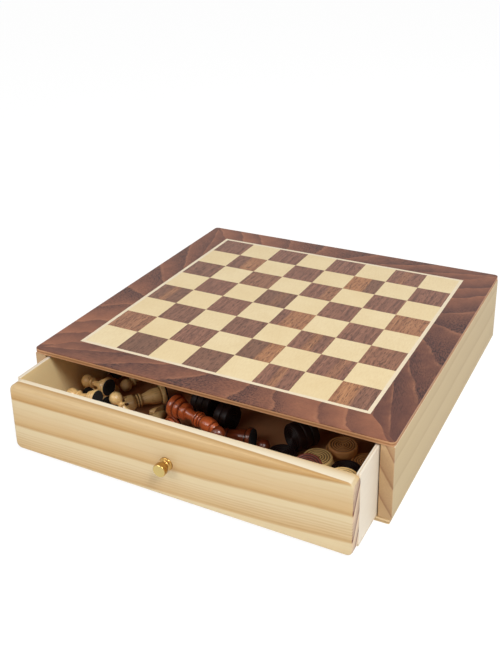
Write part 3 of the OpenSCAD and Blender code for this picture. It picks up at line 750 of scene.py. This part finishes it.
on_pawns = 2 * pawn_r * np.cos(np.radians(rest_slope(pawn_profile))) + seat
light_places = {
    "pawn": [[-96.5, 40, 180, on_pawns], [-96.5, 40, -90], [-120, 40, -90], [-98.5, 58.5, 170, on_pawns],
             [-98.5, 58.5, 120], [-121.5, 62.5, 90], [-66, 47, 180, 0, 45], [-99, 115, -105]],
    "rook": [[-66, 90, 230], [-44, 112, 95]], "knight": [[-52.5, 41.5, 98], [-128, 225, 0]],
    "bishop": [[-85, 12, 0], [-125, 104, 82]], "queen": [[-70, 125, 82]], "king": [[-96, 128, 88]]}
red_places = {
    "pawn": [[-36.5, 57.5, -104], [0, 49.5, -104], [15, 36, 0, 0, 90], [46, 39.5, 108], [28, 120, 80],
             [-18, 118, 70], [6, 116, 100], [58, 122, 70]],
    "rook": [[29, 63, 186], [84, 116, 85]], "knight": [[-22, 165, 10], [40, 172, 0]],
    "bishop": [[-36.5, 57.5, -14, on_pawns], [108, 112, 95]], "queen": [[-60, 215, 5]], "king": [[-20, 11, 0]]}


def gloss_wood(name, pale, deep, streak_and_shade, coat):
    """Turned wood under gloss lacquer. The grain runs along each man, from its own coordinates. The grooves are
    darker towards `streak_and_shade`, a painted shade, and so are the men with tint 1, a painted shadow."""
    finish, own = new_finish(name, "own_place")
    x, y, z = own.axes()
    grain = vector(x, y, z * 0.10).noise(420, 3, 0.6)
    rings = vector(x, y, z * 0.05).noise(900, 2, 0.5)
    cloud = own.noise(90, 2, 0.5)
    tone = (grain * 0.7 + cloud * 0.5 - 0.1).mix(deep, pale)
    tone = (rings.step(0.52, 0.72) * 0.45).mix(tone, streak_and_shade)
    # Painted shade: the grooves, and the men under the board's shadow, go darker towards the streak colour.
    tint = own.kept("tint")
    groove = own.kept("depth")
    tone = (groove * 0.85 + tint * 0.75).maths("MINIMUM", 1.0).mix(tone, streak_and_shade)
    lay_on(finish, tone, grain * 0.12 + 0.3, rings, 0.03 * mm, coat_weight=coat, coat_roughness=0.12)
    return finish


def sunk(grid):
    """How far each row of a turned grid lies below the lower of the two widest rows that are near it, one above
    and one below, as a share of a groove's full depth: 1 in a groove, and 0 on a bead, a ball or a plain taper."""
    near, full_depth = 1.5 * mm, 0.5 * mm
    r, h = np.hypot(grid[..., 0], grid[..., 1]).mean(1), grid[..., 2].mean(1)
    rise = h[None, :] - h[:, None]
    above = np.where((rise >= 0) & (rise < near), r, 0).max(1)
    below = np.where((rise <= 0) & (rise > -near), r, 0).max(1)
    share = np.clip((np.minimum(above, below) - r) / full_depth, 0, 1)
    return np.append(np.repeat(share, grid.shape[1]), [0, 0])


def lay_men(side, places, finish, slot):
    """Makes one mesh for each kind of man on a side, laid in the drawer, and one for all their felts. The men
    more than 10 mm to the right of the drawer's middle are darker: a painted shadow of the board."""
    felts, felt_owns, count = [], [], 0
    for kind, spots in places.items():
        profile, grids = men[kind]
        r = profile[:, 0].max() - felt_inset
        felt = turned([[pole, -felt_t], [r - 0.2 * mm, -felt_t], [r, -felt_t + 0.2 * mm], [r, -0.02 * mm], [pole, 0]])
        laid_grids, owns, shades_and_stains = [], [], []
        for spot in spots:
            turn, shift = laid(profile, *spot)
            count += 1
            own_stretch = np.array([0.11, 0.07, 0.13]) * count
            laid_grids += [grid @ turn + shift for grid in grids]
            owns += [grid + own_stretch for grid in grids]
            # Painted shadow: 1 for the men right of the middle.
            shades_and_stains += [float(spot[0] > 10)] * len(grids)
            felts.append(felt @ turn + shift)
            felt_owns.append(felt + own_stretch)
        node = f"{side}_{kind}" + ("s" if kind not in ("queen", "king") else "")
        piece = skin(f"turned_{node}", laid_grids, own=owns, tint=shades_and_stains)
        keep(piece.data, "depth", "FLOAT", np.concatenate([sunk(grid) for grid in grids] * len(spots)))
        fit(piece, finish, "drawer", slot, node)
    fit(skin(f"{side}_base_felts", felts, own=felt_owns), felt_cloth, "drawer", "black_felt", f"{side}_felts")


felt_cloth, place = new_finish("black_felt_cloth", "own_place")
fuzz = place.noise(2200, 3, 0.7)
lay_on(felt_cloth, fuzz.mix(hue(8, 7, 7), hue(34, 31, 30)), 0.95, fuzz, 0.2 * mm)
boxwood = gloss_wood("lacquered_boxwood", hue(255, 222, 156), hue(234, 186, 116), hue(128, 86, 42), 0.5)
red_wood = gloss_wood("red_stained_wood", hue(230, 122, 62), hue(150, 52, 20), hue(60, 14, 6), 0.7)
lay_men("light", light_places, boxwood, "boxwood")
lay_men("red", red_places, red_wood, "red_stained_wood")

# ---- The draughts ----
# Turned discs 22 mm across and 6 mm thick, with fine rings cut into both faces. Twelve are bare boxwood and
# twelve stained nearly black, one of them a redder brown. They lie stacked, leaning and in rows.

draught_r, draught_t, ring_depth, ring_count = 11 * mm, 6 * mm, 0.5 * mm, 5
ringed_r = 0.86 * draught_r


def draught():
    """A turned draught about its centre: over each face the height is half the thickness less a groove,
    depth (1 - cos(2 pi n r)) / 2 squeezed towards the grooves, and the rim is rounded."""
    r = np.linspace(0.02 * draught_r, ringed_r, 51)
    wave = (1 - np.cos(2 * np.pi * (ring_count * r / ringed_r - 0.15))) / 2
    face = np.stack([r, draught_t / 2 - ring_depth * wave ** 1.5], axis=1)
    a, e = np.radians(np.linspace(90, 0, 5)), 1.0 * mm
    rim = np.stack([draught_r - e + e * np.cos(a), draught_t / 2 - e + e * np.sin(a)], axis=1)
    half = np.concatenate([face, rim])
    return turned(np.concatenate([half * [1, -1], half[::-1]]), 64)


def flat(u, v, level):
    """A draught that lies flat on `level` others."""
    return np.eye(3), in_tray(u, v, level * (draught_t + seat) + draught_t / 2)


def tilted(u, v, level, heading, slope):
    """A draught that leans with its lowest edge on `level` others and slopes down towards `heading`."""
    rise = draught_r * np.sin(np.radians(slope)) + draught_t / 2 * np.cos(np.radians(slope))
    return tipped(slope, heading), in_tray(u, v, level * (draught_t + seat) + rise)


def on_edge(u, v, count, heading):
    """A row of draughts on edge that runs towards `heading`."""
    turn, start = tipped(90, heading), in_tray(u, v, draught_r)
    return [(turn, start + turn[2] * (k * (draught_t + seat) + draught_t / 2)) for k in range(count)]


light_draughts = [
    *(flat(115, 30, k) for k in range(4)), flat(84.5, 62, 0), flat(84, 59.5, 1), flat(92, 84, 0),
    flat(95, 81.5, 1), flat(114.5, 77.5, 0), flat(82, 37, 0), flat(62, 14, 0), flat(62, 14, 1)]
dark_draughts = [
    tilted(83.5, 42, 1, -80, 22), flat(55, 61, 0), flat(108, 55, 0), flat(108, 55, 1),
    *on_edge(57, 73.5, 3, 60), *on_edge(-34, 91, 3, -12), *on_edge(-7, 79.5, 2, -10)]


def draught_wood(name, pale, deep, groove, coat, other):
    """Turned wood with the grain across each disc, darker in the cut rings as painted shade. Discs with
    tint 1 are of the colour `other`: painted shade on boxwood discs under the board, a redder stain on one dark disc."""
    finish, own = new_finish(name, "own_place")
    x, y, z = own.axes()
    grain = vector(x * 0.12, y, z).noise(520, 3, 0.6)
    tone = (grain * 0.8 + own.noise(70, 2, 0.5) * 0.4 - 0.1).mix(deep, pale)
    # Painted shade in the cut rings.
    sunken = own.kept("depth")
    tone = (sunken * 0.9).mix(tone, groove)
    # Painted shade on the boxwood discs under the board; on the stained set, the real redder colour of one disc.
    tint = own.kept("tint")
    tone = tint.mix(tone, (sunken * 0.85).mix((grain * 0.5).mix(other, deep), groove))
    lay_on(finish, tone, grain * 0.1 + 0.42, grain, 0.02 * mm, coat_weight=coat, coat_roughness=0.15,
           specular_ior_level=0.3)
    return finish


def lay_draughts(name, places, finish, node, slot, tint):
    """Lays the draughts of one colour in the drawer as one mesh, which keeps how deep each point is cut."""
    disc = draught()
    piece = skin(name, [disc @ turn + shift for turn, shift in places], crease=50,
                 own=[disc + np.array([0.13, 0.05, 0.11]) * k for k in range(len(places))], tint=tint)
    ringed = np.hypot(disc[..., 0], disc[..., 1]) < 1.01 * ringed_r
    cut = (draught_t / 2 - np.abs(disc[..., 2])) / ring_depth * ringed
    keep(piece.data, "depth", "FLOAT", np.tile(np.append(cut, [0, 0]), len(places)))
    fit(piece, finish, "drawer", slot, node)


pale_discs = draught_wood("draught_boxwood", hue(255, 222, 150), hue(234, 184, 114), hue(96, 60, 30), 0.3,
                          hue(190, 124, 72))
dark_discs = draught_wood("draught_dark_stain", hue(44, 24, 20), hue(22, 11, 9), hue(8, 4, 4), 0.0, hue(132, 66, 50))
# Boxwood discs 6 to 8 lie deep under the board and get painted shade; the first stained disc is the redder one.
lay_draughts("boxwood_draughts", light_draughts, pale_discs, "light_draughts", "boxwood",
             [0.0] * 6 + [1.0] * 3 + [0.0] * 3)
lay_draughts("stained_draughts", dark_draughts, dark_discs, "dark_draughts", "dark_stained_wood", [1.0] + [0.0] * 11)

# ---- The setting: floor, light and camera ----
# A plain pale floor that keeps the box's shadow, three soft lamps, the strongest at the front right, and the
# camera at the height and angle of the picture.


def set_camera(eye, heading, drop, roll, lens, shift):
    """A camera at `eye` that looks `heading` degrees left of +Y and `drop` degrees down, with its upper edge
    tilted by `roll` degrees, its lens in mm and its frame shifted upright by `shift` of its width."""
    h, d, t = np.radians([heading, drop, roll])
    look = np.array([-np.sin(h) * np.cos(d), np.cos(h) * np.cos(d), -np.sin(d)])
    right = np.array([np.cos(h), np.sin(h), 0])
    right = np.cos(t) * right + np.sin(t) * np.cross(right, look)
    camera = bpy.data.objects.new("camera", bpy.data.cameras.new("camera"))
    bpy.context.scene.collection.objects.link(camera)
    camera.matrix_world = Matrix.Translation(eye) @ Matrix(
        np.stack([right, np.cross(right, look), -look], axis=1).tolist()).to_4x4()
    camera.data.lens, camera.data.sensor_width, camera.data.shift_y = lens, 36.0, shift
    bpy.context.scene.camera = camera


set_camera((0.29458, -0.62573, 0.40361), 27.54, 21.25, -1.0, 48.07, -0.15)


def soft_lamp(name, place, target, size, watts):
    """A square area lamp that looks at a point."""
    lamp = bpy.data.objects.new(name, bpy.data.lights.new(name, "AREA"))
    lamp.data.size, lamp.data.energy = size, watts
    lamp.location = place
    lamp.rotation_euler = (Vector(target) - Vector(place)).to_track_quat("-Z", "Y").to_euler()
    bpy.context.scene.collection.objects.link(lamp)


soft_lamp("lamp_right", (0.85, -0.75, 1.30), (0, -0.05, 0.03), 0.5, 16)
soft_lamp("lamp_left", (-0.55, -1.3, 0.85), (0, -0.1, 0.03), 0.7, 7)
soft_lamp("lamp_behind", (0.95, 1.0, 0.7), (0, 0, 0.03), 0.7, 3)

floor_mesh = bpy.data.meshes.new("floor")
floor_mesh.from_pydata([(-4, -4, 0), (4, -4, 0), (4, 4, 0), (-4, 4, 0)], [], [(0, 1, 2, 3)])
floor = bpy.data.objects.new("floor", floor_mesh)
floor.location.z = -0.0002
bpy.context.scene.collection.objects.link(floor)


def seen_rays(shade):
    """1 for rays that the camera, a mirror or glass sends, 0 for light that falls on things."""
    path = [shade.node("ShaderNodeLightPath", {}, {}, k) for k in (0, 3, 6)]
    return path[0].maths("MAXIMUM", path[1]).maths("MAXIMUM", path[2])


# What is seen of the floor is nearly white, with a share of its own grey, which has the box's shadow on it.
pale_floor, place = new_finish("pale_floor")
lay_on(pale_floor, (place.noise(3, 1) * 0.2).mix(hue(238, 238, 238), hue(234, 234, 233)), 0.9)
tree = pale_floor.node_tree
white = place.node("ShaderNodeEmission", {}, {"Color": (1, 1, 1, 1), "Strength": 1.12})
matt = Shade(tree.nodes["Principled BSDF"].outputs[0])
surface = place.node("ShaderNodeMixShader", {}, {0: seen_rays(place) * 0.82, 1: matt, 2: white})
tree.links.new(surface.socket, tree.nodes["Material Output"].inputs["Surface"])
floor_mesh.materials.append(pale_floor)

# The sky is seen as white, and lights the box with a third of that.
world = bpy.data.worlds.new("studio")
bpy.context.scene.world = world
world.use_nodes = True
sky = world.node_tree.nodes["Background"]
sky_light = 0.34
strength = seen_rays(Shade(sky.outputs[0])) * (1 - sky_light) + sky_light
world.node_tree.links.new(strength.socket, sky.inputs["Strength"])
sky.inputs["Color"].default_value = (1, 1, 1, 1)
bpy.context.scene.view_settings.view_transform = "Standard"
